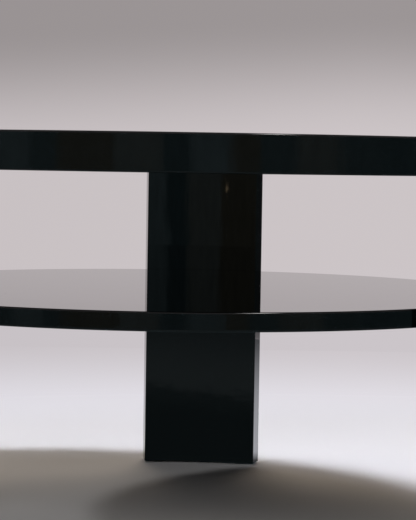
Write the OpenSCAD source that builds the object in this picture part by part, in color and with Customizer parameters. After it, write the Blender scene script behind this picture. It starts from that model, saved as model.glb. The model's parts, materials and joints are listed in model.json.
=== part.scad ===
// Round two-tier cocktail table: a thick round tabletop and a thinner round shelf, carried by three
// curved legs that stand outside the shelf and under the tabletop's rim.
// Origin on the floor, on the table's axis, +Z up.

/* [Table] */
// Height of the tabletop's upper face above the floor
table_h = 432; // [400:1:560]
// Height of the shelf's upper face above the floor
shelf_h = 258.5; // [180:0.5:300]
// Radius of the eased edges of the tabletop and the shelf
board_ease = 1.8; // [0.8:0.1:4]

/* [Tabletop] */
// Diameter of the tabletop
top_d = 813; // [700:1:1100]
// Thickness of each of the two boards that make up the tabletop
top_board_t = 19.5; // [18:0.5:25]

/* [Shelf] */
// Thickness of the shelf board
shelf_t = 19.5; // [18:0.5:25]
// Gap between the shelf's rim and the legs' inner faces
shelf_gap = 0.5; // [0.3:0.1:1]

/* [Legs] */
// Thickness of a leg, measured towards the table's axis
leg_t = 28.5; // [24:0.5:40]
// Width of a leg, straight across its outer face
leg_w = 156; // [140:0.5:240]
// How far the legs' outer faces lie inside the tabletop's rim
leg_reveal = 2; // [0:0.5:30]
// Radius of the eased edges of a leg
leg_ease = 1.5; // [0.5:0.1:3]

/* [Joint of a leg with the tabletop] */
// Distance between the two cap screws of a leg
bolt_spacing = 52; // [40:1:64]
// Thread diameter of the cap screws
bolt_d = 8; // [6:0.5:10]
// Length of the cap screws under the head
bolt_l = 40; // [34:1:60]
// Diameter of the cap screws' heads
bolt_head_d = 13; // [12:0.5:15]
// Height of the cap screws' heads
bolt_head_h = 7; // [5:0.5:8]
// Width across flats of the hexagon socket in a head
bolt_socket = 6; // [4:0.5:6]
// Depth of that socket
bolt_socket_depth = 3.5; // [2:0.5:4]
// Outer diameter of the washers
washer_d = 16; // [15.5:0.5:18]
// Thickness of the washers
washer_t = 1.6; // [1:0.1:2]
// Outer diameter of the threaded inserts
insert_d = 12.5; // [12:0.5:14]
// Length of the threaded inserts
insert_l = 25; // [15:1:30]
// Distance between the two upright dowels of a leg
top_dowel_spacing = 108; // [90:1:114]
// Diameter of the upright dowels
top_dowel_d = 10; // [6:1:12]
// Length of the upright dowels
top_dowel_l = 42; // [34:1:60]
// How far the upright dowels reach into the tabletop
top_dowel_up = 13; // [8:1:14]

/* [Joint of a leg with the shelf] */
// Distance between the two level dowels of a leg
shelf_dowel_spacing = 100; // [80:1:112]
// Diameter of the level dowels
shelf_dowel_d = 8; // [6:1:10]
// Length of the level dowels
shelf_dowel_l = 36; // [30:1:50]
// How far the level dowels reach into the leg
shelf_dowel_in_leg = 14; // [8:1:18]
// Distance between the two cam fittings of a leg
cam_spacing = 44; // [30:1:56]
// Diameter of the cam locks
cam_d = 15; // [14:0.5:16]
// Distance of a cam lock's centre from the shelf's rim
cam_inset = 24; // [20:0.5:34]
// Height of the cam locks above the middle of the shelf
cam_above_mid = 4.5; // [4:0.1:5.5]
// Diameter of the caps over the cam locks
cam_cap_d = 18; // [17.5:0.5:22]
// Thickness of those caps below the shelf
cam_cap_t = 1.2; // [0.8:0.1:2]
// Width of the cross slot in a cam lock
cam_slot_w = 1.5; // [1:0.1:2]
// Length of the cross slot in a cam lock
cam_slot_l = 9; // [6:0.5:11]
// Depth of the cross slot in a cam lock
cam_slot_h = 2.5; // [1.5:0.1:3]
// Diameter of the cam bolts' heads
cam_head_d = 6.6; // [6:0.1:7]
// Length of the cam bolts' heads
cam_head_l = 3.2; // [2.5:0.1:4]
// Diameter of the cam bolts' necks, behind the head
cam_neck_d = 3.6; // [3:0.1:4.5]
// Diameter of the cam bolts' shanks
cam_shank_d = 5.8; // [5:0.1:6]
// Diameter of the cam bolts' threads
cam_thread_d = 7; // [6:0.1:8]
// Length of the cam bolts' threads
cam_thread_l = 11; // [8:0.5:14]

/* [Screws between the tabletop boards] */
// Number of screws on the outer circle
outer_screws = 6; // [4:1:9]
// Distance of the outer screws from the tabletop's rim
outer_screw_inset = 96; // [50:1:140]
// Diameter of the inner circle of screws
inner_screw_circle = 260; // [120:10:360]
// Diameter of the wood screws
wood_screw_d = 5; // [4:0.5:6]
// Length of the wood screws with their heads
wood_screw_l = 30; // [25:1:32]
// Diameter of the wood screws' heads
wood_head_d = 9.5; // [8:0.5:10]
// Height of the wood screws' heads
wood_head_h = 2.8; // [2:0.1:3.5]
// Width of the cross recess in a wood screw's head
wood_recess_w = 1.2; // [0.8:0.1:1.6]
// Length of the cross recess in a wood screw's head
wood_recess_l = 5; // [3:0.5:6]
// Depth of the cross recess in a wood screw's head
wood_recess_h = 1.6; // [1:0.1:1.8]
// Thickness of the flush caps over the heads
screw_cap_t = 1.6; // [1:0.1:2.5]

/* [Feet] */
// Distance between the two glides of a leg
glide_spacing = 110; // [80:1:120]
// Diameter of the glides
glide_d = 21; // [18:0.5:23]
// Thickness of the glides
glide_t = 5; // [4:0.5:8]
// How far the glides stand out below the leg
glide_proud = 1; // [0.5:0.5:3]
// Diameter of the glides' nails
nail_d = 2.4; // [2:0.1:3.5]
// Length of the glides' nails
nail_l = 22; // [16:1:32]
// Diameter of the nails' heads
nail_head_d = 7; // [6:0.5:8]
// Thickness of the nails' heads
nail_head_t = 1.2; // [0.8:0.1:1.5]
// How deep the nails' heads lie in the glides
nail_head_sunk = 1.2; // [0.5:0.1:1.5]

/* [Clearances] */
// Clearance around a screw, a head or a glide in its hole
loose = 0.4; // [0.2:0.05:0.6]
// Clearance around a dowel, an insert, a thread, a lock or a cap in its hole
snug = 0.1; // [0.05:0.01:0.2]
// Room beyond the end of a dowel, a screw or a nail in its blind hole
end_gap = 1; // [0.5:0.1:1.5]
// Gap between a cam bolt's head and its seat in the cam lock
seat_gap = 0.1; // [0.05:0.01:0.2]

/* [Hidden] */
$fn = 64;

// Finishes
lacquer = [0.04, 0.055, 0.06];
beech = [0.80, 0.64, 0.44];
steel = [0.62, 0.63, 0.65];
brass = [0.78, 0.62, 0.30];
zinc = [0.70, 0.70, 0.70];
black_plastic = [0.06, 0.06, 0.06];

// Directions of the three legs, seen from the axis
BACK = 90;
LEFT = BACK + 120;
RIGHT = BACK + 240;
LEGS = [BACK, LEFT, RIGHT];

// How far a cut runs past the face that it opens, and how far a rod runs into the one that it joins
past = 1;
// How far the flats of a leg's eased edge start outside the faces that they join
start_out = 0.03;
// Number of sides of the large round pieces
round_fn = 240;
// Number of sides that the flats of a leg's eased edge are part of
flat_sides = 12;

// Heights
top_t = 2 * top_board_t;
top_low = table_h - top_t;
top_seam = table_h - top_board_t;
shelf_low = shelf_h - shelf_t;
shelf_mid = shelf_h - shelf_t / 2;
leg_low = glide_proud;

// Radii of the boards and of the legs' faces
top_r = top_d / 2;
leg_out = top_r - leg_reveal;
leg_in = leg_out - leg_t;
leg_mid = leg_in + leg_t / 2;
shelf_r = leg_in - shelf_gap;

// Half of the angle that a leg spans about the table's axis
leg_half = asin(leg_w / 2 / leg_out);

// Joint of a leg with the tabletop
bolt_clear_d = bolt_d + 2 * loose;
bolt_head_room = bolt_head_h + washer_t + end_gap;
bolt_seat = top_board_t - bolt_head_room;
bolt_reach = bolt_l - bolt_seat - washer_t;
washer_clear_d = washer_d + 2 * loose;
top_dowel_down = top_dowel_l - top_dowel_up;

// Joint of a leg with the shelf
shelf_dowel_in_shelf = shelf_dowel_l - shelf_dowel_in_leg - shelf_gap;
cam_pocket_h = shelf_t / 2 + cam_above_mid + snug;
cam_h = cam_pocket_h - cam_cap_t - snug;
cam_tunnel_d = cam_head_d + 2 * loose;

// Screws between the tabletop boards
wood_hole_d = wood_screw_d + 2 * snug;
wood_bore_d = wood_head_d + 2 * loose;
wood_bore_h = wood_head_h + screw_cap_t;
wood_reach = wood_screw_l - (top_board_t - wood_bore_h) - wood_head_h;

// Feet
glide_recess = glide_t - glide_proud;
glide_bore_h = nail_head_sunk + nail_head_t;
nail_reach = nail_l - (glide_t - glide_bore_h);

// How far out a circle of radius r lies at a sideways distance y from a leg's centre line
function out_at(r, y) = sqrt(r * r - y * y);

// Turns a piece that is drawn for a leg on +X to the leg in direction a
module at_leg(a) {
  rotate([0, 0, a]) children();
}

// Two places, the given distance apart, on a circle of radius r about the table's axis
module pair(spacing, r) {
  for (side = [-1, 1])
    translate([out_at(r, side * spacing / 2), side * spacing / 2, 0]) children();
}

// A cylinder from x0 to x1 along X
module level_rod(d, x0, x1) {
  translate([x0, 0, 0]) rotate([0, 90, 0]) cylinder(d = d, h = x1 - x0);
}

// What a cross slot takes off a face at z = 0, upwards
module cross_slot(w, l, h) {
  for (turn = [0, 90])
    rotate([0, 0, turn]) translate([-l / 2, -w / 2, -past]) cube([l, w, h + past]);
}

// The places of the screws between the tabletop boards
module at_wood_screws() {
  for (i = [0 : outer_screws - 1])
    rotate([0, 0, i * 360 / outer_screws]) translate([top_r - outer_screw_inset, 0, 0]) children();
  for (a = LEGS)
    rotate([0, 0, a]) translate([inner_screw_circle / 2, 0, 0]) children();
}

// What easing takes off an outer corner, drawn for a corner that points to +X +Y
module eased_corner(e, sides = $fn) {
  difference() {
    square(e + past);
    circle(r = e, $fn = sides);
  }
}

// A round board of radius r and thickness t, with its lower or upper rim eased by low or high
module board(r, t, low, high) {
  rotate_extrude($fn = round_fn) difference() {
    square([r, t]);
    if (high > 0) translate([r - high, t - high]) eased_corner(high);
    if (low > 0) translate([r - low, low]) mirror([0, 1]) eased_corner(low);
  }
}

// ---- Tabletop ----

module tabletop_upper_board() {
  color(lacquer) translate([0, 0, top_seam]) difference() {
    board(top_r, top_board_t, 0, board_ease);
    at_wood_screws() translate([0, 0, -past])
      cylinder(d = wood_hole_d, h = wood_reach + end_gap + past);
  }
}

module tabletop_lower_board() {
  color(lacquer) translate([0, 0, top_low]) difference() {
    board(top_r, top_board_t, board_ease, 0);
    at_wood_screws() {
      translate([0, 0, -past]) cylinder(d = wood_hole_d, h = top_board_t + 2 * past);
      translate([0, 0, -past]) cylinder(d = wood_bore_d, h = wood_bore_h + past);
    }
    for (a = LEGS) at_leg(a) {
      pair(bolt_spacing, leg_mid) {
        translate([0, 0, -past]) cylinder(d = bolt_clear_d, h = top_board_t + 2 * past);
        translate([0, 0, bolt_seat]) cylinder(d = washer_clear_d, h = bolt_head_room + past);
      }
      pair(top_dowel_spacing, leg_mid)
        translate([0, 0, -past]) cylinder(d = top_dowel_d + 2 * snug, h = top_dowel_up + end_gap + past);
    }
  }
}

// Wood screws, put in from below through the lower board
module tabletop_screws() {
  color(zinc) at_wood_screws() translate([0, 0, top_low + screw_cap_t]) difference() {
    union() {
      cylinder(d = wood_head_d, h = wood_head_h);
      cylinder(d = wood_screw_d, h = wood_screw_l);
    }
    cross_slot(wood_recess_w, wood_recess_l, wood_recess_h);
  }
}

module tabletop_screw_caps() {
  color(black_plastic) at_wood_screws() translate([0, 0, top_low])
    cylinder(d = wood_bore_d - 2 * snug, h = screw_cap_t);
}

// ---- Shelf ----

module shelf_board() {
  color(lacquer) difference() {
    translate([0, 0, shelf_low]) board(shelf_r, shelf_t, board_ease, board_ease);
    for (a = LEGS) at_leg(a) {
      pair(shelf_dowel_spacing, shelf_r) translate([0, 0, shelf_mid])
        level_rod(shelf_dowel_d + 2 * snug, -shelf_dowel_in_shelf - end_gap, past);
      pair(cam_spacing, shelf_r) {
        translate([0, 0, shelf_mid]) level_rod(cam_tunnel_d, -cam_inset, past);
        translate([-cam_inset, 0, shelf_low - past])
          cylinder(d = cam_d + 2 * snug, h = cam_pocket_h + past);
      }
    }
  }
}

// ---- Legs ----

// Section of a leg, distance from the axis against height, with the foot's edges eased
module leg_section() {
  translate([leg_in, leg_low]) difference() {
    square([leg_t, top_low - leg_low]);
    translate([leg_t - leg_ease, leg_ease]) mirror([0, 1]) eased_corner(leg_ease);
    translate([leg_ease, leg_ease]) rotate(180) eased_corner(leg_ease);
  }
}

// What easing takes off an upright edge of a leg on its +Y side, in flats. The edge's face has radius r,
// and into the leg is 1 for the inner face and -1 for the outer one.
module upright_edge(r, into) {
  centre = r + into * (leg_ease - start_out);
  rotate([0, 0, leg_half - asin((leg_ease - start_out) / centre)]) translate([centre, 0, leg_low - past])
    linear_extrude(height = top_low - leg_low + 2 * past) rotate(into > 0 ? 90 : 0)
      eased_corner(leg_ease, flat_sides);
}

// What easing takes off the foot's edge under the end face on the +Y side, in flats
module foot_end_edge() {
  rotate([0, 0, leg_half])
    translate([leg_in - past, start_out - leg_ease, leg_low + leg_ease - start_out])
      rotate([90, 0, 90]) mirror([0, 1, 0])
        linear_extrude(height = leg_t + 2 * past) eased_corner(leg_ease, flat_sides);
}

module leg() {
  color(lacquer) difference() {
    rotate([0, 0, -leg_half]) rotate_extrude(angle = 2 * leg_half, $fn = round_fn) leg_section();
    for (side = [0, 1]) mirror([0, side, 0]) {
      upright_edge(leg_in, 1);
      upright_edge(leg_out, -1);
      foot_end_edge();
    }
    pair(bolt_spacing, leg_mid) {
      translate([0, 0, top_low - insert_l]) cylinder(d = insert_d + 2 * snug, h = insert_l + past);
      translate([0, 0, top_low - bolt_reach - end_gap]) cylinder(d = bolt_clear_d, h = bolt_reach);
    }
    pair(top_dowel_spacing, leg_mid) translate([0, 0, top_low - top_dowel_down - end_gap])
      cylinder(d = top_dowel_d + 2 * snug, h = top_dowel_down + end_gap + past);
    pair(shelf_dowel_spacing, leg_in) translate([0, 0, shelf_mid])
      level_rod(shelf_dowel_d + 2 * snug, -past, shelf_dowel_in_leg + end_gap);
    pair(cam_spacing, leg_in) translate([0, 0, shelf_mid])
      level_rod(cam_thread_d + 2 * snug, -past, cam_thread_l + end_gap);
    pair(glide_spacing, leg_mid) {
      translate([0, 0, leg_low - past]) cylinder(d = glide_d + 2 * loose, h = glide_recess + past);
      translate([0, 0, leg_low]) cylinder(d = nail_d + 2 * snug, h = glide_recess + nail_reach + end_gap);
    }
  }
}

// ---- Fittings between a leg and the tabletop ----

module leg_inserts() {
  color(brass) pair(bolt_spacing, leg_mid) translate([0, 0, top_low - insert_l]) difference() {
    cylinder(d = insert_d, h = insert_l);
    translate([0, 0, -past]) cylinder(d = bolt_d + 2 * snug, h = insert_l + 2 * past);
  }
}

module leg_bolts() {
  color(steel) pair(bolt_spacing, leg_mid) translate([0, 0, top_low + bolt_seat + washer_t]) difference() {
    union() {
      cylinder(d = bolt_head_d, h = bolt_head_h);
      translate([0, 0, -bolt_l]) cylinder(d = bolt_d, h = bolt_l);
    }
    translate([0, 0, bolt_head_h - bolt_socket_depth])
      cylinder(d = bolt_socket / cos(30), h = bolt_socket_depth + past, $fn = 6);
  }
}

module leg_washers() {
  color(steel) pair(bolt_spacing, leg_mid) translate([0, 0, top_low + bolt_seat]) difference() {
    cylinder(d = washer_d, h = washer_t);
    translate([0, 0, -past]) cylinder(d = bolt_d + loose, h = washer_t + 2 * past);
  }
}

module top_dowels() {
  color(beech) pair(top_dowel_spacing, leg_mid) translate([0, 0, top_low - top_dowel_down])
    cylinder(d = top_dowel_d, h = top_dowel_l);
}

// ---- Fittings between a leg and the shelf, all parallel so that the leg can be pushed on ----

module shelf_dowels() {
  color(beech) pair(shelf_dowel_spacing, leg_in) translate([0, 0, shelf_mid])
    level_rod(shelf_dowel_d, shelf_dowel_in_leg - shelf_dowel_l, shelf_dowel_in_leg);
}

// The bolt's thread is in the leg, and its head is held by the cam lock
module cam_bolts() {
  to_cam = -cam_inset - shelf_gap;
  color(steel) pair(cam_spacing, leg_in) translate([0, 0, shelf_mid]) {
    level_rod(cam_thread_d, 0, cam_thread_l);
    level_rod(cam_shank_d, to_cam + cam_d / 2 + loose, past);
    level_rod(cam_neck_d, to_cam - cam_head_l, past);
    level_rod(cam_head_d, to_cam - seat_gap - cam_head_l, to_cam - seat_gap);
  }
}

// A drum with a hollow for the bolt's head, a narrower way for its neck and a cross slot underneath
module cam_locks() {
  color(zinc) pair(cam_spacing, shelf_r) translate([-cam_inset, 0, shelf_low + cam_cap_t]) difference() {
    cylinder(d = cam_d, h = cam_h);
    translate([0, 0, shelf_mid - shelf_low - cam_cap_t]) {
      level_rod(cam_tunnel_d, -cam_head_l - 2 * loose, 0);
      level_rod(cam_neck_d + 2 * loose, -past, cam_d);
    }
    rotate([0, 0, 45]) cross_slot(cam_slot_w, cam_slot_l, cam_slot_h);
  }
}

module cam_caps() {
  color(black_plastic) pair(cam_spacing, shelf_r) translate([-cam_inset, 0, shelf_low]) {
    translate([0, 0, -cam_cap_t]) cylinder(d = cam_cap_d, h = cam_cap_t);
    cylinder(d = cam_d - 2 * snug, h = cam_cap_t - snug);
  }
}

// ---- Feet ----

module glide_pads() {
  color(black_plastic) pair(glide_spacing, leg_mid) difference() {
    cylinder(d = glide_d, h = glide_t);
    translate([0, 0, -past]) cylinder(d = nail_d + 2 * snug, h = glide_t + 2 * past);
    translate([0, 0, -past]) cylinder(d = nail_head_d + 2 * loose, h = glide_bore_h + past);
  }
}

module glide_nails() {
  color(steel) pair(glide_spacing, leg_mid) {
    translate([0, 0, glide_bore_h - nail_head_t]) cylinder(d = nail_head_d, h = nail_head_t);
    translate([0, 0, glide_bore_h - nail_head_t]) cylinder(d = nail_d, h = nail_head_t + nail_l);
  }
}

tabletop_upper_board();
tabletop_lower_board();
tabletop_screws();
tabletop_screw_caps();
shelf_board();

at_leg(BACK) leg();  // leg_back
at_leg(BACK) leg_inserts();  // back_leg_inserts
at_leg(BACK) leg_bolts();  // back_leg_bolts
at_leg(BACK) leg_washers();  // back_leg_washers
at_leg(BACK) top_dowels();  // back_top_dowels
at_leg(BACK) shelf_dowels();  // back_shelf_dowels
at_leg(BACK) cam_bolts();  // back_cam_bolts
at_leg(BACK) cam_locks();  // back_cam_locks
at_leg(BACK) cam_caps();  // back_cam_caps
at_leg(BACK) glide_pads();  // back_glide_pads
at_leg(BACK) glide_nails();  // back_glide_nails

at_leg(LEFT) leg();  // leg_left
at_leg(LEFT) leg_inserts();  // left_leg_inserts
at_leg(LEFT) leg_bolts();  // left_leg_bolts
at_leg(LEFT) leg_washers();  // left_leg_washers
at_leg(LEFT) top_dowels();  // left_top_dowels
at_leg(LEFT) shelf_dowels();  // left_shelf_dowels
at_leg(LEFT) cam_bolts();  // left_cam_bolts
at_leg(LEFT) cam_locks();  // left_cam_locks
at_leg(LEFT) cam_caps();  // left_cam_caps
at_leg(LEFT) glide_pads();  // left_glide_pads
at_leg(LEFT) glide_nails();  // left_glide_nails

at_leg(RIGHT) leg();  // leg_right
at_leg(RIGHT) leg_inserts();  // right_leg_inserts
at_leg(RIGHT) leg_bolts();  // right_leg_bolts
at_leg(RIGHT) leg_washers();  // right_leg_washers
at_leg(RIGHT) top_dowels();  // right_top_dowels
at_leg(RIGHT) shelf_dowels();  // right_shelf_dowels
at_leg(RIGHT) cam_bolts();  // right_cam_bolts
at_leg(RIGHT) cam_locks();  // right_cam_locks
at_leg(RIGHT) cam_caps();  // right_cam_caps
at_leg(RIGHT) glide_pads();  // right_glide_pads
at_leg(RIGHT) glide_nails();  // right_glide_nails
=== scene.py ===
"""Looks of the round two-tier cocktail table: black gloss lacquer, the fittings inside it, and a pale studio.

Lengths are in metres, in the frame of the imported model: origin on the floor, on the table's axis, +Z up,
the back leg on +Y. The camera, the lamps and the backdrop are placed in the studio's own frame, which is
turned about the table's axis: its +Y points from the camera's foot to the table's axis, and +X to the right.
"""

import json
import math
from collections import namedtuple

import bmesh
import bpy
from mathutils import Matrix, Vector


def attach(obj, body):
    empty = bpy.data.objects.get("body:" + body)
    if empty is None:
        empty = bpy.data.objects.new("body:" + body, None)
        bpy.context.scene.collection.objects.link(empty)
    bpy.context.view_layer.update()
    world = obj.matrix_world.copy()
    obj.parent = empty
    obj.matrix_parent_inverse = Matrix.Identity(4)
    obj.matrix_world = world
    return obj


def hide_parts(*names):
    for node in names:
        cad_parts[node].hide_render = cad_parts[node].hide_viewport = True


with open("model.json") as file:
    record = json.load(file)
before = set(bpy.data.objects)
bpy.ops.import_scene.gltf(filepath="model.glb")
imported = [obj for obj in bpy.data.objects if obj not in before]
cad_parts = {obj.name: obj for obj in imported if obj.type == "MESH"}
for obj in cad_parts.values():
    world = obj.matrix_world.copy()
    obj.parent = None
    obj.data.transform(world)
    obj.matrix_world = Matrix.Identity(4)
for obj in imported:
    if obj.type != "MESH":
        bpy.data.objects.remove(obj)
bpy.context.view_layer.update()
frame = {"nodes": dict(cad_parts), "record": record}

LEGS = {"back": math.radians(90), "left": math.radians(210), "right": math.radians(330)}

# ---- Sizes of the boards and legs, as in the CAD source ----
TOP_RADIUS = 0.4065
TOP_LOW, TOP_SEAM, TOP_HIGH = 0.3930, 0.4125, 0.4320
SHELF_RADIUS = 0.3755
SHELF_LOW, SHELF_MID, SHELF_HIGH = 0.2390, 0.24875, 0.2585
BOARD_EASE = 0.0018
LEG_IN, LEG_MID, LEG_OUT = 0.3760, 0.39025, 0.4045
LEG_LOW = 0.0010
LEG_HALF_WIDTH = 0.0780
LEG_HALF_ANGLE = math.asin(LEG_HALF_WIDTH / LEG_OUT)
LEG_EASE = 0.0015

# ---- Bores, as in the CAD source: diameters, depths or ends, and spacings across a leg ----
# The screws between the tabletop's boards stand on two circles: the outer one has six, the inner one three
OUTER_SCREW_CIRCLE, OUTER_SCREWS, INNER_SCREW_CIRCLE = 0.3105, 6, 0.130
BOARD_SCREW_BORE, BOARD_SCREW_DEPTH = 0.0052, 0.0131
BOARD_CAP_BORE, BOARD_CAP_DEPTH = 0.0103, 0.0044
LEG_SCREW_SPACING, LEG_SCREW_BORE, LEG_SCREW_END = 0.052, 0.0088, 0.0295
SCREW_HEAD_BORE, SCREW_HEAD_SEAT = 0.0168, 0.0099
INSERT_BORE, INSERT_DEPTH = 0.0127, 0.025
TOP_DOWEL_SPACING, TOP_DOWEL_BORE = 0.108, 0.0102
TOP_DOWEL_IN_BOARD, TOP_DOWEL_IN_LEG = 0.014, 0.030
SHELF_DOWEL_SPACING, SHELF_DOWEL_BORE = 0.100, 0.0082
SHELF_DOWEL_IN_SHELF, SHELF_DOWEL_IN_LEG = 0.0225, 0.015
CAM_SPACING, CAM_BOLT_SHELF_BORE, CAM_BOLT_LEG_BORE = 0.044, 0.0074, 0.0072
CAM_BOLT_IN_SHELF, CAM_BOLT_IN_LEG = 0.024, 0.012
CAM_LOCK_BORE, CAM_LOCK_DEPTH, CAM_LOCK_FROM_RIM = 0.0152, 0.01435, 0.024
GLIDE_SPACING, GLIDE_BORE, GLIDE_DEPTH = 0.110, 0.0218, 0.004
NAIL_BORE, NAIL_END = 0.0026, 0.0244

# ---- How the meshes are made ----
# How far a bore's cutter runs past the face that it opens, and how far a support line lies from an eased edge
PAST = 0.001
SUPPORT = 0.0006
# Corners of a mesh closer than MERGE are one corner, and an edge that turns by SHARP or more is shaded sharp
MERGE = 0.000001
SHARP = math.radians(30)
LEAST_CORNER = 0.0001
BOARD_STEPS, ARC_STEPS, BORE_STEPS, EASE_STEPS = 384, 48, 48, 8
SWEEP_STEPS, CARD_STEPS, HIGHLIGHT_STEPS = 16, 72, 48

# ---- Finishes ----
LACQUER_DARK, LACQUER_LIGHT, LACQUER_IOR = (0.0017, 0.0025, 0.0028), (0.0022, 0.0031, 0.0034), 1.53
LACQUER_ROUGHNESS = (0.015, 0.045)
WAVE_HEIGHT, PEEL_HEIGHT = 0.00003, 0.000004
# Dust: cells per metre, a speck's radius as a share of a cell, the share of cells that stay clean
DUST_CELLS, DUST_RADII, DUST_FREE = 13.0, (0.003, 0.011), 0.72
DUST_COLOUR, DUST_ROUGHNESS = (0.10, 0.095, 0.085), 0.9
# A face looks up where its normal's Z is above this
LOOKS_UP = 0.9
# Beech: its tones by grain, from 0 to 1, and the tone of its flecks
BEECH_TONES = [(0.3, (0.50, 0.27, 0.12)), (0.55, (0.62, 0.37, 0.18)), (0.8, (0.70, 0.45, 0.24))]
BEECH_FLECK = (0.36, 0.17, 0.07)
PLASTIC_DARK, PLASTIC_LIGHT = (0.0045, 0.0045, 0.0048), (0.0070, 0.0070, 0.0072)
# How fine the marks of turned metal are along X, Y and Z
TURNED = (0.3, 0.3, 6)
# Most of a noise texture's values lie between these two
NOISE_LOW, NOISE_HIGH = 0.3, 0.7

# ---- Camera, in the studio's frame ----
STUDIO_TURN = math.radians(5.300)
CAMERA_DISTANCE = 2.3512
CAMERA_HEIGHT = 0.4086
CAMERA_YAW = math.radians(0.893)
CAMERA_PITCH = math.radians(2.877)
CAMERA_ROLL = math.radians(0.907)
CAMERA_LENS = 141.91
CAMERA_SENSOR = 36.0
CAMERA_NEAR, CAMERA_FAR = 0.05, 100

# ---- Backdrop and floor, in the studio's frame ----
WALL_Y = 2.11
WALL_HEIGHT = 3.0
WALL_HALF_WIDTH = 9.0
WALL_LIFT = 0.0005
SWEEP_RADIUS = 0.12
FLOOR_HALF_WIDTH = 30.0
FLOOR_COLOUR, FLOOR_GRAIN = (0.80, 0.78, 0.83), 0.99
# Painted light: the floor's glow near the table, and its darker tone further out
FLOOR_GLOW_COLOUR = (0.80, 0.785, 0.845)
FLOOR_FAR_COLOUR = (0.585, 0.547, 0.573)
# The wall glows: a lighter tone low down, and a painted shade above
WALL_LOW_COLOUR = (0.590, 0.543, 0.555)
WALL_HIGH_COLOUR = (0.325, 0.297, 0.300)
# FLOOR_GRAIN is the darkest of the paper's grain, as a share of its colour. The paper takes the lamps'
# shadows near SHADOW_MIDDLE. Over SHADOW_FADE from there it turns into a glow of painted light, whose colour
# darkens to the far one, as painted falloff, over FLOOR_FADE from the table's axis.
SHADOW_MIDDLE, SHADOW_FADE, FLOOR_FADE = (0.25, -0.3, 0), (0.9, 1.5), (0.55, 2.15)
# Heights over which the wall's tones change, from the lighter low tone to the painted shade above, and how
# much higher the upper change lies at the right, LEAN_HALF_WIDTH from the middle
WALL_FOOT_FADE, WALL_FADE = (0.0, 0.2), (0.42, 0.70)
WALL_LEAN, LEAN_HALF_WIDTH = 0.024, 0.4
# Painted light: strength at the left and the right end of what the camera sees, lighter at the right
FLOOR_STRENGTHS, WALL_STRENGTHS, VIEW_HALF_WIDTH = (0.99, 1.045), (0.985, 1.02), 0.35

# ---- World: tones by height where it is seen, and a soft light from high behind the table ----
WORLD_HIGH_COLOUR, HORIZON_FADE = (0.26, 0.24, 0.245), (0.02, 0.30)
SOFT_WAY, SOFT_LEVEL, SOFT_COLOUR = (0.02, 0.626, 0.779), 2.55, (1.0, 0.86, 0.66)
# The soft light's reach from its edge to its full level, and how many times narrower it is than high
SOFT_FADE, SOFT_NARROWING = (0.60, 0.30), 2.0

# ---- Lamps, in the studio's frame. The first radius is the one across the beam's upright plane ----
KEY_PLACE, KEY_RADIUS, KEY_POWER = (0.565, 0.095, 2.043), (0.13, 0.20), 32.5
HALO_RADIUS, HALO_POWER = (0.45, 0.45), 8.1
SIDE_PLACE, SIDE_RADIUS, SIDE_POWER = (-3.18, 0.05, 2.60), (0.14, 0.14), 22.0
FRONT_PLACE, FRONT_RADIUS, FRONT_POWER = (-1.01, -2.99, 1.60), (0.80, 0.80), 31.0
KEY_COLOUR = (0.93, 0.968, 1.017)
SIDE_COLOUR = (0.95, 0.955, 0.90)
FRONT_COLOUR = (1.0, 0.97, 0.88)

# ---- Painted highlights: round cards that glow in the lacquer alone, in place of the lamps that it mirrors ----
HIGHLIGHT_COLOUR, HIGHLIGHT_AIM = (1, 0.97, 0.96), (0, 0, 0.4)
KEY_HIGHLIGHT_RADIUS, KEY_GLOW = 0.2, 4.0
GLINT_PLACE, GLINT_RADIUS, GLINT_GLOW = (0.765, -1.13, 1.90), 0.28, 34.0
# A painted warm highlight, the mirror image of a low lamp in the room at the camera's side, flattened because
# the leg mirrors its width much reduced
WARM_PLACE, WARM_RADIUS, WARM_GLOW = (-0.990, -2.726, 0.3160), 0.050, 7.0
WARM_COLOUR, WARM_FLATNESS = (1.0, 0.72, 0.44), 0.05

# ---- Standing dark card: a painted reflection, curved round the camera's side of the table, in dark bands ----
# It runs between two angles from the studio's +X, in degrees
STANDING_RADIUS, STANDING_HEIGHT, STANDING_ENDS = 3.0, 0.7, (-185, 38)
GREY, PALE, DIM = (0.110, 0.153, 0.166), (0.110, 0.130, 0.126), (0.062, 0.094, 0.102)
BROWN, DARK = (0.084, 0.083, 0.066), (0.048, 0.077, 0.085)
# The painted reflection's bands: from and to, as angles from the camera's side of the table in degrees, and
# the tone
PAINTED_REFLECTION_BANDS = [(-90, -52, DIM), (-52, -41.5, GREY), (-41.5, -34.5, DIM), (-34.5, -17.5, BROWN),
           (-17.5, -4.5, PALE), (-4.5, 3.5, DARK), (3.5, 15, GREY), (15, 22.5, BROWN),
           (22.5, 32.5, DIM), (32.5, 47, PALE), (47, 60, DIM), (60, 90, DARK)]
# Degrees over which a band of the painted reflection blends into its edge, and radians by which the edges
# wander
BAND_BLUR, BAND_WANDER = 1.2, 0.03
# The strength at four heights, what all of it is multiplied by, and the share by which patches differ
STANDING_LEVELS = [(0.06, 0.78), (0.14, 0.85), (0.35, 0.91), (0.40, 0.90)]
STANDING_STRENGTH, STANDING_PATCHES = 1.15, 0.12

# ---- Other cards of painted reflection, in the studio's frame. The lying ones and the standing one start at CARD_LOW ----
CARD_LOW = 0.0004
# A painted dark reflection upright at the right behind the table, from SIDE_LEFT to SIDE_RIGHT, with soft
# edges
SIDE_LEFT, SIDE_RIGHT, SIDE_Y, SIDE_HIGH = 0.72, 4.0, 2.0, 2.4
SIDE_FOOT_FADE, SIDE_LEFT_FADE = (-0.08, 0.10), (0.72, 0.95)
SIDE_TONE = (0.012, 0.014, 0.015)
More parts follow.
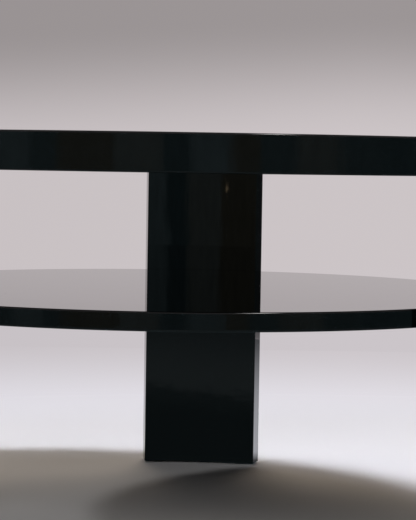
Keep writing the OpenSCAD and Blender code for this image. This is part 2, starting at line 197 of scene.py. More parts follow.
# A painted reflection lying on the floor, up to the leg's foot: dark for the shaded floor under the table,
# and in lighter bands for the lit floor further out, by the distance from LYING_MIDDLE.
LYING_HALF_WIDTH, LYING_FAR = 3, 0.374
LYING_MIDDLE, LYING_WANDER = (0.327, 0.331, 0), 0.09
LYING_TONE = (0.060, 0.086, 0.093)
LYING_BANDS = [((0.55, 0.84), (0.078, 0.108, 0.116)), ((0.80, 0.98), (0.16, 0.20, 0.21)),
               ((1.05, 2.2), (0.10, 0.13, 0.14))]
# A pale painted reflection of the lit floor, at the right behind the leg's foot. It is brightest near
# PALE_MIDDLE, and has a painted shadow at PALE_FOOT, where the leg's own shadow lies. Each level runs between
# two values over two distances.
PALE_LEFT, PALE_RIGHT, PALE_NEAR, PALE_FAR, PALE_TONE = 0.104, 2.2, 0.374, 2.0, (0.965, 0.97, 1.05)
PALE_MIDDLE, PALE_LEVEL, PALE_REACH = (0.2, 0.5, 0), (1.2, 0.35), (0.0, 1.75)
PALE_FAR_LEVEL, PALE_FAR_REACH = (1.0, 0.55), (0.6, 1.6)
PALE_FOOT, PALE_FOOT_LEVEL, PALE_FOOT_REACH = (0.114, 0.388, 0), (0.12, 1.0), (0.012, 0.09)


def studio(x, y, z):
    """A place or direction in the studio's frame, as the part's frame has it."""
    return Matrix.Rotation(STUDIO_TURN, 3, "Z") @ Vector((x, y, z))


def between(first, last, steps):
    """The values from first to last, in equal steps."""
    return [first + (last - first) * i / steps for i in range(steps + 1)]


def whole_turn(steps):
    """The angles of a full circle, in equal steps."""
    return [2 * math.pi * i / steps for i in range(steps)]


QUARTER_TURN = between(0, math.pi / 2, EASE_STEPS)


# ---- Camera ----

def make_camera():
    """The camera, from its place in the studio and its three angles."""
    forward = studio(
        math.sin(CAMERA_YAW) * math.cos(CAMERA_PITCH),
        math.cos(CAMERA_YAW) * math.cos(CAMERA_PITCH),
        -math.sin(CAMERA_PITCH),
    )
    level = studio(math.cos(CAMERA_YAW), -math.sin(CAMERA_YAW), 0)
    upright = level.cross(forward)
    right = math.cos(CAMERA_ROLL) * level + math.sin(CAMERA_ROLL) * upright
    up = math.cos(CAMERA_ROLL) * upright - math.sin(CAMERA_ROLL) * level
    data = bpy.data.cameras.new("camera")
    data.lens = CAMERA_LENS
    data.sensor_width = CAMERA_SENSOR
    data.clip_start = CAMERA_NEAR
    data.clip_end = CAMERA_FAR
    camera = bpy.data.objects.new("camera", data)
    axes = Matrix((right, up, -forward)).transposed().to_4x4()
    camera.matrix_world = Matrix.Translation(studio(0, -CAMERA_DISTANCE, CAMERA_HEIGHT)) @ axes
    bpy.context.scene.collection.objects.link(camera)
    bpy.context.scene.camera = camera


make_camera()


# ---- Nodes ----

# A vector as a whole and along each axis, as node outputs
Axes = namedtuple("Axes", "whole x y z")


class Nodes:
    """The nodes of a material or of the world, with a short call for each kind that is used often."""

    def __init__(self, owner):
        owner.use_nodes = True
        self.tree = owner.node_tree
        self.tree.nodes.clear()

    def feed(self, socket, value):
        """Join an input to an output, or give it a number, a vector or a colour of its own."""
        if isinstance(value, bpy.types.NodeSocket):
            self.tree.links.new(value, socket)
        elif socket.type == "RGBA":
            socket.default_value = (*value, 1)
        else:
            socket.default_value = value

    def add(self, kind, settings=None, **inputs):
        """A new node. The name of an input is written with _ for a space."""
        new = self.tree.nodes.new(kind)
        for key, value in (settings or {}).items():
            setattr(new, key, value)
        for key, value in inputs.items():
            self.feed(new.inputs[key.replace("_", " ")], value)
        return new

    def calculate(self, operation, first, second=0.0):
        """A number from two, each an output or a plain number."""
        made = self.add("ShaderNodeMath", {"operation": operation})
        self.feed(made.inputs[0], first)
        self.feed(made.inputs[1], second)
        return made.outputs["Value"]

    def product(self, first, second):
        return self.calculate("MULTIPLY", first, second)

    def vector(self, operation, first, second):
        """What a vector operation gives: a vector for MULTIPLY, and a number for the others used here."""
        made = self.add("ShaderNodeVectorMath", {"operation": operation})
        self.feed(made.inputs[0], first)
        self.feed(made.inputs[1], second)
        return made.outputs["Vector" if operation == "MULTIPLY" else "Value"]

    def distance(self, place, point):
        return self.vector("DISTANCE", place, point)

    def axes(self, vector):
        split = self.add("ShaderNodeSeparateXYZ", Vector=vector)
        return Axes(vector, split.outputs["X"], split.outputs["Y"], split.outputs["Z"])

    def place(self, scale=(1, 1, 1), turn=(0, 0, 0)):
        """The place on the table in metres, turned and then scaled."""
        place = self.add("ShaderNodeTexCoord").outputs["Object"]
        turned_place = self.add("ShaderNodeMapping", {"vector_type": "TEXTURE"}, Vector=place, Rotation=turn)
        return self.vector("MULTIPLY", turned_place.outputs["Vector"], scale)

    def studio_place(self):
        """The place in the studio's frame, on a stage mesh, which carries the studio's turn."""
        return self.axes(self.add("ShaderNodeTexCoord").outputs["Object"])

    def noise(self, place, scale, detail=2.0, roughness=0.5):
        made = self.add("ShaderNodeTexNoise", Vector=place, Scale=scale, Detail=detail, Roughness=roughness)
        return made.outputs["Fac"]

    def spread(self, value, low, high, start=0.0, end=1.0):
        """A value mapped from start..end to low..high, and held there."""
        made = self.add("ShaderNodeMapRange", Value=value,
                        From_Min=start, From_Max=end, To_Min=low, To_Max=high)
        return made.outputs["Result"]

    def noise_spread(self, noise, low, high):
        """A noise mapped to low..high."""
        return self.spread(noise, low, high, NOISE_LOW, NOISE_HIGH)

    def smooth_range(self, value, start, end):
        """A value mapped from start..end to 0..1, and smoothed at both ends."""
        made = self.add("ShaderNodeMapRange", {"interpolation_type": "SMOOTHSTEP"},
                        Value=value, From_Min=start, From_Max=end)
        return made.outputs["Result"]

    def ramp(self, value, colours):
        """A colour from a value: colours is a list of (place, (r, g, b))."""
        made = self.add("ShaderNodeValToRGB", Fac=value)
        elements = made.color_ramp.elements
        while len(elements) < len(colours):
            elements.new(0.5)
        for element, (place, colour) in zip(elements, colours):
            element.position = place
            element.color = (*colour, 1)
        return made.outputs["Color"]

    def noise_ramp(self, noise, dark, light):
        """A colour from a noise."""
        return self.ramp(noise, [(NOISE_LOW, dark), (NOISE_HIGH, light)])

    def mix_colour(self, factor, first, second):
        made = self.add("ShaderNodeMix", {"data_type": "RGBA"}, Factor=factor, A=first, B=second)
        return made.outputs["Result"]

    def bump(self, relief, height, after=None):
        """A bump of the given height in metres, on top of another one."""
        made = self.add("ShaderNodeBump", Height=relief, Strength=1.0, Distance=height)
        if after:
            self.feed(made.inputs["Normal"], after)
        return made.outputs["Normal"]

    def principled(self, colour, roughness, normal, **fixed):
        """The shader of a piece. What is the same all over it is set on the shader's own sockets."""
        made = self.add("ShaderNodeBsdfPrincipled",
                        Base_Color=colour, Roughness=roughness, Normal=normal, **fixed)
        return made.outputs["BSDF"]

    def emission(self, colour, strength=1.0):
        return self.add("ShaderNodeEmission", Color=colour, Strength=strength).outputs["Emission"]

    def clear(self):
        return self.add("ShaderNodeBsdfTransparent").outputs["BSDF"]

    def mix_shader(self, factor, first, second):
        made = self.add("ShaderNodeMixShader", Fac=factor)
        self.feed(made.inputs[1], first)
        self.feed(made.inputs[2], second)
        return made.outputs["Shader"]

    def seen(self):
        """1 for the camera and for what the object mirrors or lets through, 0 for the light on the object."""
        path = self.add("ShaderNodeLightPath")
        looked_at = self.calculate("MAXIMUM", path.outputs["Is Camera Ray"], path.outputs["Is Glossy Ray"])
        return self.calculate("MAXIMUM", looked_at, path.outputs["Is Transmission Ray"])


def material(name, paint, **values):
    """A material whose shader comes from paint, a function of its nodes and the values."""
    made = bpy.data.materials.new(name)
    nodes = Nodes(made)
    nodes.add("ShaderNodeOutputMaterial", Surface=paint(nodes, **values))
    return made


# ---- Materials of the table ----

def dust_specks(nodes, place):
    """1 on a few specks of dust on the faces that look up, and 0 elsewhere."""
    cells = nodes.add("ShaderNodeTexVoronoi", {"voronoi_dimensions": "2D"}, Vector=place, Scale=DUST_CELLS)
    draw = nodes.add("ShaderNodeSeparateColor", Color=cells.outputs["Color"])
    radius = nodes.spread(draw.outputs["Green"], *DUST_RADII)
    near = nodes.calculate("LESS_THAN", cells.outputs["Distance"], radius)
    some = nodes.calculate("GREATER_THAN", draw.outputs["Red"], DUST_FREE)
    normal = nodes.axes(nodes.add("ShaderNodeNewGeometry").outputs["Normal"])
    return nodes.product(nodes.product(near, some), nodes.calculate("GREATER_THAN", normal.z, LOOKS_UP))


def lacquer(nodes):
    """Black gloss lacquer: a faint cloud, polish haze, long waves under orange peel, and specks of dust."""
    place = nodes.place()
    dust = dust_specks(nodes, place)
    cloud = nodes.noise_ramp(nodes.noise(place, scale=9.0, detail=3.0), LACQUER_DARK, LACQUER_LIGHT)
    haze = nodes.noise_spread(nodes.noise(place, scale=38.0, detail=4.0, roughness=0.6), *LACQUER_ROUGHNESS)
    waves = nodes.bump(nodes.noise(place, scale=12.0, detail=1.0), WAVE_HEIGHT)
    peel = nodes.bump(nodes.noise(place, scale=120.0), PEEL_HEIGHT, after=waves)
    return nodes.principled(
        nodes.mix_colour(dust, cloud, DUST_COLOUR),
        nodes.calculate("MAXIMUM", haze, nodes.product(dust, DUST_ROUGHNESS)),
        peel,
        IOR=LACQUER_IOR,
    )


def beech(nodes, turn):
    """Turned beech, with its grain and flecks along a dowel that lies in the given direction."""
    grain = nodes.noise(nodes.place(scale=(1, 1, 0.06), turn=turn), scale=900.0, detail=4.0, roughness=0.6)
    flecks = nodes.noise(nodes.place(scale=(1, 1, 0.35), turn=turn), scale=1800.0, detail=1.0)
    base = nodes.ramp(grain, BEECH_TONES)
    colour = nodes.mix_colour(nodes.spread(flecks, low=0, high=0.6, start=0.62, end=0.72), base, BEECH_FLECK)
    return nodes.principled(colour, nodes.spread(grain, low=0.55, high=0.75),
                            nodes.bump(grain, height=0.00008), IOR=1.45)


def metal(nodes, dark, light, roughness, scale, stretch, height):
    """Metal with turning or drawing marks: stretch is how fine they are along X, Y and Z."""
    marks = nodes.noise(nodes.place(scale=stretch), scale, detail=3.0, roughness=0.6)
    stains = nodes.noise(nodes.place(), scale=160.0, detail=3.0)
    return nodes.principled(nodes.noise_ramp(stains, dark, light), nodes.noise_spread(marks, *roughness),
                            nodes.bump(marks, height), Metallic=1.0)


def moulded_plastic(nodes):
    """Black plastic with the fine grain of a spark-eroded mould."""
    place = nodes.place()
    cloud = nodes.noise(place, scale=220.0)
    grain = nodes.noise(place, scale=2600.0)
    return nodes.principled(nodes.noise_ramp(cloud, PLASTIC_DARK, PLASTIC_LIGHT),
                            nodes.noise_spread(grain, low=0.38, high=0.58),
                            nodes.bump(grain, height=0.00004), IOR=1.46)


LACQUER = material("black_gloss_lacquer", lacquer)
FINISHES = {
    "steel": material("bright_steel", metal, dark=(0.30, 0.31, 0.32), light=(0.40, 0.40, 0.42),
                      roughness=(0.22, 0.38), scale=700.0, stretch=TURNED, height=0.00001),
    "brass": material("turned_brass", metal, dark=(0.50, 0.28, 0.07), light=(0.62, 0.39, 0.12),
                      roughness=(0.20, 0.36), scale=700.0, stretch=TURNED, height=0.00001),
    "zinc": material("zinc_plate", metal, dark=(0.38, 0.39, 0.42), light=(0.52, 0.52, 0.54),
                     roughness=(0.28, 0.46), scale=500.0, stretch=(1, 1, 1), height=0.00002),
    "black_plastic": material("black_moulded_plastic", moulded_plastic),
}


def give_finish(piece, made):
    piece.data.materials.clear()
    piece.data.materials.append(made)


for part in frame["record"]["subparts"]:
    if part["material_slot"] in FINISHES:
        give_finish(frame["nodes"][part["node"]], FINISHES[part["material_slot"]])
UPRIGHT_BEECH = material("turned_beech_upright", beech, turn=(0, 0, 0))
for leg, angle in LEGS.items():
    give_finish(frame["nodes"]["%s_top_dowels" % leg], UPRIGHT_BEECH)
    level_beech = material("turned_beech_%s" % leg, beech, turn=(0, math.pi / 2, angle))
    give_finish(frame["nodes"]["%s_shelf_dowels" % leg], level_beech)


# ---- Boards and legs ----

def solid(name, rings):
    """A closed mesh through rings of points, each with the same number of points, capped at both ends."""
    count = len(rings[0])
    points = [p for ring in rings for p in ring]
    faces = [tuple(reversed(range(count))), tuple(range((len(rings) - 1) * count, len(rings) * count))]
    for j in range(len(rings) - 1):
        for i in range(count):
            k = (i + 1) % count
            faces.append((j * count + i, j * count + k, (j + 1) * count + k, (j + 1) * count + i))
    mesh = bpy.data.meshes.new(name)
    mesh.from_pydata(points, [], faces)
    made = bpy.data.objects.new(name, mesh)
    bpy.context.scene.collection.objects.link(made)
    return made


def turned(profile, steps, at=None):
    """The rings of a solid of revolution about Z: profile is a list of (radius, height)."""
    at = at or Matrix.Identity(4)
    return [[at @ Vector((r * math.cos(a), r * math.sin(a), z)) for a in whole_turn(steps)]
            for r, z in profile]


def board_rings(radius, low, high, ease_low=True, ease_high=True):
    """A round board, with a quarter round on its lower or upper rim, or on both."""
    e = BOARD_EASE
    if ease_low:
        line = [(radius - e - SUPPORT, low)]
        line += [(radius - e + e * math.sin(a), low + e - e * math.cos(a)) for a in QUARTER_TURN]
        line += [(radius, low + e + SUPPORT)]
    else:
        line = [(radius, low)]
    if ease_high:
        line += [(radius, high - e - SUPPORT)]
        line += [(radius - e + e * math.cos(a), high - e + e * math.sin(a)) for a in QUARTER_TURN]
        line += [(radius - e - SUPPORT, high)]
    else:
        line += [(radius, high)]
    return turned(line, BOARD_STEPS)


def leg_outline(inset):
    """The leg's outline from above, for a leg on +X, drawn in by inset, from its outer face anticlockwise."""
    corner = max(LEG_EASE - inset, LEAST_CORNER)
    out, inner, end = LEG_OUT - inset, LEG_IN + inset, LEG_HALF_ANGLE

    def on_circle(r, a):
        return r * math.cos(a), r * math.sin(a)

    def corner_direction(r):
        """The direction in which the middle of a rounded corner lies, on the circle r."""
        return end - math.asin((inset + corner) / r)

    def corner_points(r, first, last):
        x, y = on_circle(r, corner_direction(r))
        return [(x + corner * math.cos(a), y + corner * math.sin(a))
                for a in between(first, last, EASE_STEPS)]

    outer_end, inner_end = corner_direction(out - corner), corner_direction(inner + corner)
    outer_corner = corner_points(out - corner, outer_end, end + math.pi / 2)
    inner_corner = corner_points(inner + corner, end + math.pi / 2, inner_end + math.pi)
    inward = Vector((-math.cos(end), -math.sin(end)))
    end_face = [tuple(Vector(outer_corner[-1]) + inward * SUPPORT),
                tuple(Vector(inner_corner[0]) - inward * SUPPORT)]
    outer_arc = [on_circle(out, a) for a in between(0, outer_end, ARC_STEPS)[:-1]]
    outer_arc.append(on_circle(out, outer_end - SUPPORT / out))
    inner_arc = [on_circle(inner, a) for a in between(0, inner_end, ARC_STEPS)[1:-1]]
    inner_arc.append(on_circle(inner, inner_end - SUPPORT / inner))
    half = outer_arc + outer_corner + end_face + inner_corner + inner_arc[::-1]
    return half + [on_circle(inner, 0)] + [(x, -y) for x, y in half[:0:-1]]


def leg_rings(angle):
    """A leg in the given direction, with a quarter round at its foot."""
    e = LEG_EASE
    line = [(e + SUPPORT, LEG_LOW)]
    line += [(e - e * math.sin(a), LEG_LOW + e - e * math.cos(a)) for a in QUARTER_TURN]
    line += [(0, LEG_LOW + e + SUPPORT), (0, TOP_LOW)]
    turn = Matrix.Rotation(angle, 3, "Z")
    return [[turn @ Vector((x, y, z)) for x, y in leg_outline(inset)] for inset, z in line]


def upright(x, y, z, angle):
    """The place of an upright bore, for a leg in the direction angle."""
    return Matrix.Rotation(angle, 4, "Z") @ Matrix.Translation((x, y, z))


def level(x, y, z, angle):
    """The place of a level bore whose Z runs outwards."""
    return upright(x, y, z, angle) @ Matrix.Rotation(math.pi / 2, 4, "Y")


def bore(at, *cuts):
    """A cutter for a stepped bore about the Z of at: cuts are (diameter, start, end), in line."""
    line = [(diameter / 2, z) for diameter, start, end in cuts for z in (start, end)]
    return solid("cutter", turned(line, BORE_STEPS, at))


def two_bores(way, spacing, radius, height, angle, *cuts, inward=0.0):
    """Cutters for two bores of a leg, the given distance apart on a circle about the axis. way is upright or
    level, and inward is how far from the circle they lie."""
    x = math.sqrt(radius ** 2 - spacing ** 2 / 4) - inward
    return [bore(way(x, side * spacing / 2, height, angle), *cuts) for side in (-1, 1)]


def screw_bores(height, *cuts):
    """Cutters for the screws that hold the two boards of the tabletop together."""
    places = [(OUTER_SCREW_CIRCLE, a) for a in whole_turn(OUTER_SCREWS)]
    places += [(INNER_SCREW_CIRCLE, a) for a in LEGS.values()]
    return [bore(upright(r, 0, height, a), *cuts) for r, a in places]


def cut(piece, cutters):
    """Take the cutters away from the piece."""
    for cutter in cutters:
        bool_step = piece.modifiers.new("bore", "BOOLEAN")
        bool_step.operation = "DIFFERENCE"
        bool_step.solver = "MANIFOLD"
        bool_step.object = cutter
    graph = bpy.context.evaluated_depsgraph_get()
    mesh = bpy.data.meshes.new_from_object(piece.evaluated_get(graph))
    old = piece.data
    piece.modifiers.clear()
    piece.data = mesh
    mesh.name = old.name
    bpy.data.meshes.remove(old)
    for cutter in cutters:
        old = cutter.data
        bpy.data.objects.remove(cutter)
        bpy.data.meshes.remove(old)


def finish_piece(piece, node_name):
    """Smooth shading between the sharp edges, the lacquer, and the piece's place in the model."""
    form = bmesh.new()
    form.from_mesh(piece.data)
    bmesh.ops.remove_doubles(form, verts=form.verts, dist=MERGE)
    bmesh.ops.recalc_face_normals(form, faces=form.faces)
    for face in form.faces:
        face.smooth = True
    for edge in form.edges:
        edge.smooth = edge.is_manifold and edge.calc_face_angle() < SHARP
    form.to_mesh(piece.data)
    form.free()
    give_finish(piece, LACQUER)
    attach(piece, "root")
    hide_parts(node_name)


def make_tabletop():
    """The two boards: the upper one over the screws, and the lower one with the bores for screws and legs."""
    upper = solid("tabletop_upper_lacquered", board_rings(TOP_RADIUS, TOP_SEAM, TOP_HIGH, ease_low=False))
    cut(upper, screw_bores(TOP_SEAM, (BOARD_SCREW_BORE, -PAST, BOARD_SCREW_DEPTH)))
    finish_piece(upper, "tabletop_upper_board")

    lower = solid("tabletop_lower_lacquered", board_rings(TOP_RADIUS, TOP_LOW, TOP_SEAM, ease_high=False))
    through = TOP_SEAM - TOP_LOW + PAST
    cutters = screw_bores(TOP_LOW, (BOARD_CAP_BORE, -PAST, BOARD_CAP_DEPTH),
                          (BOARD_SCREW_BORE, BOARD_CAP_DEPTH, through))
    for angle in LEGS.values():
        cutters += two_bores(upright, LEG_SCREW_SPACING, LEG_MID, TOP_LOW, angle,
                             (LEG_SCREW_BORE, -PAST, SCREW_HEAD_SEAT),
                             (SCREW_HEAD_BORE, SCREW_HEAD_SEAT, through))
        cutters += two_bores(upright, TOP_DOWEL_SPACING, LEG_MID, TOP_LOW, angle,
                             (TOP_DOWEL_BORE, -PAST, TOP_DOWEL_IN_BOARD))
    cut(lower, cutters)
    finish_piece(lower, "tabletop_lower_board")


def make_shelf():
    """The shelf, with level bores in its rim for dowels and cam bolts, and the cam locks' from below."""
    shelf = solid("shelf_lacquered", board_rings(SHELF_RADIUS, SHELF_LOW, SHELF_HIGH))
    cutters = []
    for angle in LEGS.values():
        cutters += two_bores(level, SHELF_DOWEL_SPACING, SHELF_RADIUS, SHELF_MID, angle,
                             (SHELF_DOWEL_BORE, -SHELF_DOWEL_IN_SHELF, PAST))
        cutters += two_bores(level, CAM_SPACING, SHELF_RADIUS, SHELF_MID, angle,
                             (CAM_BOLT_SHELF_BORE, -CAM_BOLT_IN_SHELF, PAST))
        cutters += two_bores(upright, CAM_SPACING, SHELF_RADIUS, SHELF_LOW, angle,
                             (CAM_LOCK_BORE, -PAST, CAM_LOCK_DEPTH), inward=CAM_LOCK_FROM_RIM)
    cut(shelf, cutters)
    finish_piece(shelf, "shelf_board")


def make_leg(name, angle):
    """A leg, with the bores in its top end, its inner face and its foot."""
    leg = solid("leg_%s_lacquered" % name, leg_rings(angle))
    cutters = two_bores(upright, LEG_SCREW_SPACING, LEG_MID, TOP_LOW, angle,
                        (LEG_SCREW_BORE, -LEG_SCREW_END, -INSERT_DEPTH), (INSERT_BORE, -INSERT_DEPTH, PAST))
    cutters += two_bores(upright, TOP_DOWEL_SPACING, LEG_MID, TOP_LOW, angle,
                         (TOP_DOWEL_BORE, -TOP_DOWEL_IN_LEG, PAST))
    cutters += two_bores(level, SHELF_DOWEL_SPACING, LEG_IN, SHELF_MID, angle,
                         (SHELF_DOWEL_BORE, -PAST, SHELF_DOWEL_IN_LEG))
    cutters += two_bores(level, CAM_SPACING, LEG_IN, SHELF_MID, angle,
                         (CAM_BOLT_LEG_BORE, -PAST, CAM_BOLT_IN_LEG))
    cutters += two_bores(upright, GLIDE_SPACING, LEG_MID, LEG_LOW, angle,
                         (GLIDE_BORE, -PAST, GLIDE_DEPTH), (NAIL_BORE, GLIDE_DEPTH, NAIL_END))
    cut(leg, cutters)
    finish_piece(leg, "leg_%s" % name)


make_tabletop()
make_shelf()
for leg, angle in LEGS.items():
    make_leg(leg, angle)


# ---- Floor and backdrop ----

# The face of a mesh of four points
ONE_FACE = [(0, 1, 2, 3)]


def stage_object(name, points, faces, skin):
    """A stage mesh, drawn in the studio's frame."""
    mesh = bpy.data.meshes.new(name)
    mesh.from_pydata(points, [], faces)
    made = bpy.data.objects.new(name, mesh)
    bpy.context.scene.collection.objects.link(made)
    made.matrix_world = Matrix.Rotation(STUDIO_TURN, 4, "Z")
    made.data.materials.append(skin)
    return made


def across_view(nodes, place, strengths):
    """A strength of painted light that changes evenly across what the camera sees."""
    return nodes.spread(place.x, *strengths, -VIEW_HALF_WIDTH, VIEW_HALF_WIDTH)


def floor_paper(nodes):
    """A pale floor that takes the table's shadows, and further out glows with painted light that darkens to
    the backdrop's tone.
    """
    place = nodes.studio_place()
    darker = tuple(FLOOR_GRAIN * c for c in FLOOR_COLOUR)
    grain = nodes.noise_ramp(nodes.noise(place.whole, scale=3.0), darker, FLOOR_COLOUR)
    paper = nodes.add("ShaderNodeBsdfDiffuse", Color=grain)
    out_of_light = nodes.smooth_range(nodes.distance(place.whole, (0, 0, 0)), *FLOOR_FADE)
    # Painted light: the glow darkens with the distance from the table and is lighter at the right
    glow = nodes.emission(nodes.mix_colour(out_of_light, FLOOR_GLOW_COLOUR, FLOOR_FAR_COLOUR),
                          across_view(nodes, place, FLOOR_STRENGTHS))
    far = nodes.smooth_range(nodes.distance(place.whole, SHADOW_MIDDLE), *SHADOW_FADE)
    top = nodes.mix_shader(nodes.product(far, nodes.seen()), paper.outputs["BSDF"], glow)
    side = nodes.add("ShaderNodeNewGeometry")
    return nodes.mix_shader(side.outputs["Backfacing"], top, nodes.clear())


def backdrop_paper(nodes):
    """A wall seen only from its front, glowing with painted light at its foot and painted shade above, that
    throws no light or shadow.
    """
    place = nodes.studio_place()
    low = nodes.mix_colour(nodes.smooth_range(place.z, *WALL_FOOT_FADE), FLOOR_FAR_COLOUR, WALL_LOW_COLOUR)
    lean = nodes.spread(place.x, -WALL_LEAN, WALL_LEAN, -LEAN_HALF_WIDTH, LEAN_HALF_WIDTH)
    height = nodes.calculate("SUBTRACT", place.z, lean)
    tone = nodes.mix_colour(nodes.smooth_range(height, *WALL_FADE), low, WALL_HIGH_COLOUR)
    glow = nodes.emission(tone, across_view(nodes, place, WALL_STRENGTHS))
    side = nodes.add("ShaderNodeNewGeometry")
    front = nodes.calculate("SUBTRACT", 1.0, side.outputs["Backfacing"])
    return nodes.mix_shader(nodes.product(front, nodes.seen()), nodes.clear(), glow)


def rectangle(left, right, low, high):
    """The corners of a rectangle, in order."""
    return (left, low), (right, low), (right, high), (left, high)


def make_floor():
    """The floor, which reaches far past what the camera sees."""
    w = FLOOR_HALF_WIDTH
    points = [(x, y, 0) for x, y in rectangle(-w, w, -w, w)]
    stage_object("floor", points, ONE_FACE, material("floor_paper", floor_paper))


def make_backdrop():
    """The wall, with a curved foot."""
    line = [(WALL_Y - SWEEP_RADIUS + SWEEP_RADIUS * math.sin(a), SWEEP_RADIUS - SWEEP_RADIUS * math.cos(a))
            for a in between(0, math.pi / 2, SWEEP_STEPS)]
    line.append((WALL_Y, WALL_HEIGHT))
    points = [(side * WALL_HALF_WIDTH, y, z + WALL_LIFT) for y, z in line for side in (-1, 1)]
    faces = [(2 * i, 2 * i + 1, 2 * i + 3, 2 * i + 2) for i in range(len(line) - 1)]
    stage_object("backdrop", points, faces, material("backdrop_paper", backdrop_paper))


# ---- Cards of painted reflection and painted highlight, which the lacquer alone mirrors ----

def make_card(name, points, faces, paint, **values):
    """A card of painted reflection, that shows in reflections alone."""
    card = stage_object(name, points, faces, material(name, paint, **values))
    card.visible_camera = False
    card.visible_diffuse = False
    card.visible_transmission = False
    card.visible_volume_scatter = False
    card.visible_shadow = False


def standing_tones(nodes):
    """Painted reflection: dark bands side by side, with wandering edges and patches, and a strength by
    height.
    """
    place = nodes.studio_place()
    angle = nodes.calculate("ARCTAN2", place.x, nodes.product(place.y, -1.0))
    wander = nodes.noise(place.whole, scale=5.0, detail=3.0, roughness=0.6)
    angle = nodes.calculate("ADD", angle, nodes.noise_spread(wander, -BAND_WANDER, BAND_WANDER))
    # The ramp runs from -90 to 90 degrees
    stops = []
    for start, end, tone in PAINTED_REFLECTION_BANDS:
        stops += [((start + BAND_BLUR + 90) / 180, tone), ((end - BAND_BLUR + 90) / 180, tone)]
    tone = nodes.ramp(nodes.spread(angle, 0, 1, -math.pi / 2, math.pi / 2), stops)
    patches = nodes.noise_spread(nodes.noise(place.whole, scale=11.0, detail=3.0),
                                 1 - STANDING_PATCHES, 1 + STANDING_PATCHES)
    stops = [(z / STANDING_HEIGHT, (level, level, level)) for z, level in STANDING_LEVELS]
    by_height = nodes.ramp(nodes.spread(place.z, 0, 1, 0, STANDING_HEIGHT), stops)
    return nodes.emission(tone, nodes.product(patches, nodes.product(by_height, STANDING_STRENGTH)))


def side_tones(nodes):
    """Painted dark reflection: one tone, with soft edges at the foot and at the left."""
    place = nodes.studio_place()
    inside = nodes.product(nodes.smooth_range(place.z, *SIDE_FOOT_FADE),
                           nodes.smooth_range(place.x, *SIDE_LEFT_FADE))
    return nodes.mix_shader(inside, nodes.clear(), nodes.emission(SIDE_TONE))


def lying_tones(nodes):
    """Painted reflection of the floor: dark for its shade, and lighter bands where it is lit, with wandering
    edges.
    """
    place = nodes.studio_place()
    wander = nodes.noise(place.whole, scale=11.0, detail=4.0, roughness=0.65)
    away = nodes.calculate("ADD", nodes.distance(place.whole, LYING_MIDDLE),
                           nodes.noise_spread(wander, -LYING_WANDER, LYING_WANDER))
    tone = LYING_TONE
    for reach, next_tone in LYING_BANDS:
        tone = nodes.mix_colour(nodes.smooth_range(away, *reach), tone, next_tone)
    return nodes.emission(tone)


def pale_tones(nodes):
    """Painted reflection of the lit floor, which falls off with the distance, with a painted shadow at the
    leg's foot.
    """
    place = nodes.studio_place()
    away = nodes.distance(place.whole, PALE_MIDDLE)
    fall = nodes.product(nodes.spread(away, *PALE_LEVEL, *PALE_REACH),
                         nodes.spread(away, *PALE_FAR_LEVEL, *PALE_FAR_REACH))
    at_foot = nodes.spread(nodes.distance(place.whole, PALE_FOOT), *PALE_FOOT_LEVEL, *PALE_FOOT_REACH)
    return nodes.emission(PALE_TONE, nodes.product(fall, at_foot))


def make_cards():
    """The cards of painted reflection: the dark ones, standing round the camera's side, upright at the right
    and lying on the floor, and the pale one that lies behind the leg's foot."""
    angles = [math.radians(a) for a in between(*STANDING_ENDS, CARD_STEPS)]
    points = [(STANDING_RADIUS * math.cos(a), STANDING_RADIUS * math.sin(a), z)
              for z in (CARD_LOW, STANDING_HEIGHT) for a in angles]
    faces = [(i, i + 1, i + 2 + CARD_STEPS, i + 1 + CARD_STEPS) for i in range(CARD_STEPS)]
    make_card("standing_dark_card", points, faces, standing_tones)

    points = [(x, SIDE_Y, z) for x, z in rectangle(SIDE_LEFT, SIDE_RIGHT, 0, SIDE_HIGH)]
    make_card("side_dark_card", points, ONE_FACE, side_tones)

    w = LYING_HALF_WIDTH
    points = [(x, y, CARD_LOW) for x, y in rectangle(-w, w, -w, LYING_FAR)]
    make_card("lying_dark_card", points, ONE_FACE, lying_tones)

    points = [(x, y, CARD_LOW) for x, y in rectangle(PALE_LEFT, PALE_RIGHT, PALE_NEAR, PALE_FAR)]
    make_card("lying_pale_card", points, ONE_FACE, pale_tones)


def round_glow(nodes, middle, radius, strength, colour, flatness):
    """The glow of a painted highlight, which falls off from its middle to none at the rim of an oval."""
    x, y, z = middle
    rounded = nodes.vector("MULTIPLY", nodes.studio_place().whole, (1, 1, 1 / flatness))
    off = nodes.distance(rounded, (x, y, z / flatness))
    return nodes.emission(colour, nodes.product(nodes.smooth_range(off, radius, 0.0), strength))


def make_painted_highlight(name, place, radius, strength, colour=HIGHLIGHT_COLOUR, flatness=1.0):
    """A painted highlight: a round card that glows in the lacquer alone, turned to the table's axis. Its
    flatness is its height as a share of its width."""
    aim = Vector(HIGHLIGHT_AIM) - Vector(place)
    turn = aim.to_track_quat("-Z", "Y").to_matrix()
    points = [turn @ Vector((radius * math.cos(a), flatness * radius * math.sin(a), 0)) + Vector(place)
              for a in whole_turn(HIGHLIGHT_STEPS)]
    make_card(name, points, [tuple(reversed(range(HIGHLIGHT_STEPS)))], round_glow,
              middle=place, radius=radius, strength=strength, colour=colour, flatness=flatness)


# ---- Lamps and world ----

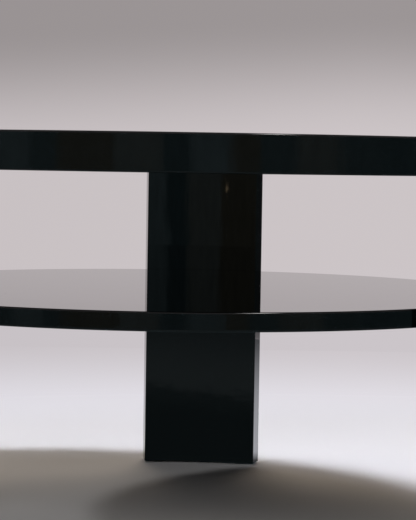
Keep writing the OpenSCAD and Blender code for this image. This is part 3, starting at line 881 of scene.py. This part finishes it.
def make_lamp(name, place, radius, power, colour):
    """A round or oval lamp, aimed at the foot of the table's axis, that the lacquer doesn't mirror."""
    data = bpy.data.lights.new(name, "AREA")
    data.shape = "ELLIPSE"
    data.size = 2 * radius[0]
    data.size_y = 2 * radius[1]
    data.energy = power
    data.color = colour
    lamp = bpy.data.objects.new(name, data)
    lamp.location = studio(*place)
    lamp.rotation_euler = (-lamp.location).to_track_quat("-Z", "Y").to_euler()
    lamp.visible_glossy = False
    bpy.context.scene.collection.objects.link(lamp)


def make_world():
    """Pale at the horizon and darker above where it is seen. The table gets an upright oval of soft light
    from high behind it."""
    world = bpy.data.worlds.new("studio")
    nodes = Nodes(world)
    way = nodes.axes(nodes.add("ShaderNodeTexCoord").outputs["Generated"])
    tone = nodes.mix_colour(nodes.smooth_range(way.z, *HORIZON_FADE), FLOOR_FAR_COLOUR, WORLD_HIGH_COLOUR)
    off = nodes.distance(way.whole, studio(*SOFT_WAY))
    across = nodes.vector("DOT_PRODUCT", way.whole, math.sqrt(SOFT_NARROWING ** 2 - 1) * studio(1, 0, 0))
    squares = nodes.calculate("ADD", nodes.product(off, off), nodes.product(across, across))
    soft = nodes.smooth_range(nodes.calculate("SQRT", squares), *SOFT_FADE)
    light = nodes.mix_colour(soft, (0.0, 0.0, 0.0), tuple(SOFT_LEVEL * c for c in SOFT_COLOUR))
    colour = nodes.mix_colour(nodes.seen(), light, tone)
    ground = nodes.add("ShaderNodeBackground", Color=colour, Strength=1.0)
    nodes.add("ShaderNodeOutputWorld", Surface=ground.outputs["Background"])
    bpy.context.scene.world = world


make_floor()
make_backdrop()
make_cards()
make_painted_highlight("key_painted_highlight", KEY_PLACE, KEY_HIGHLIGHT_RADIUS, KEY_GLOW)
make_painted_highlight("glint_painted_highlight", GLINT_PLACE, GLINT_RADIUS, GLINT_GLOW)
make_painted_highlight("warm_painted_highlight", WARM_PLACE, WARM_RADIUS, WARM_GLOW, WARM_COLOUR, WARM_FLATNESS)
make_lamp("key_lamp", KEY_PLACE, KEY_RADIUS, KEY_POWER, KEY_COLOUR)
make_lamp("halo_lamp", KEY_PLACE, HALO_RADIUS, HALO_POWER, KEY_COLOUR)
make_lamp("side_lamp", SIDE_PLACE, SIDE_RADIUS, SIDE_POWER, SIDE_COLOUR)
make_lamp("front_lamp", FRONT_PLACE, FRONT_RADIUS, FRONT_POWER, FRONT_COLOUR)
make_world()
bpy.context.scene.view_settings.view_transform = "Standard"
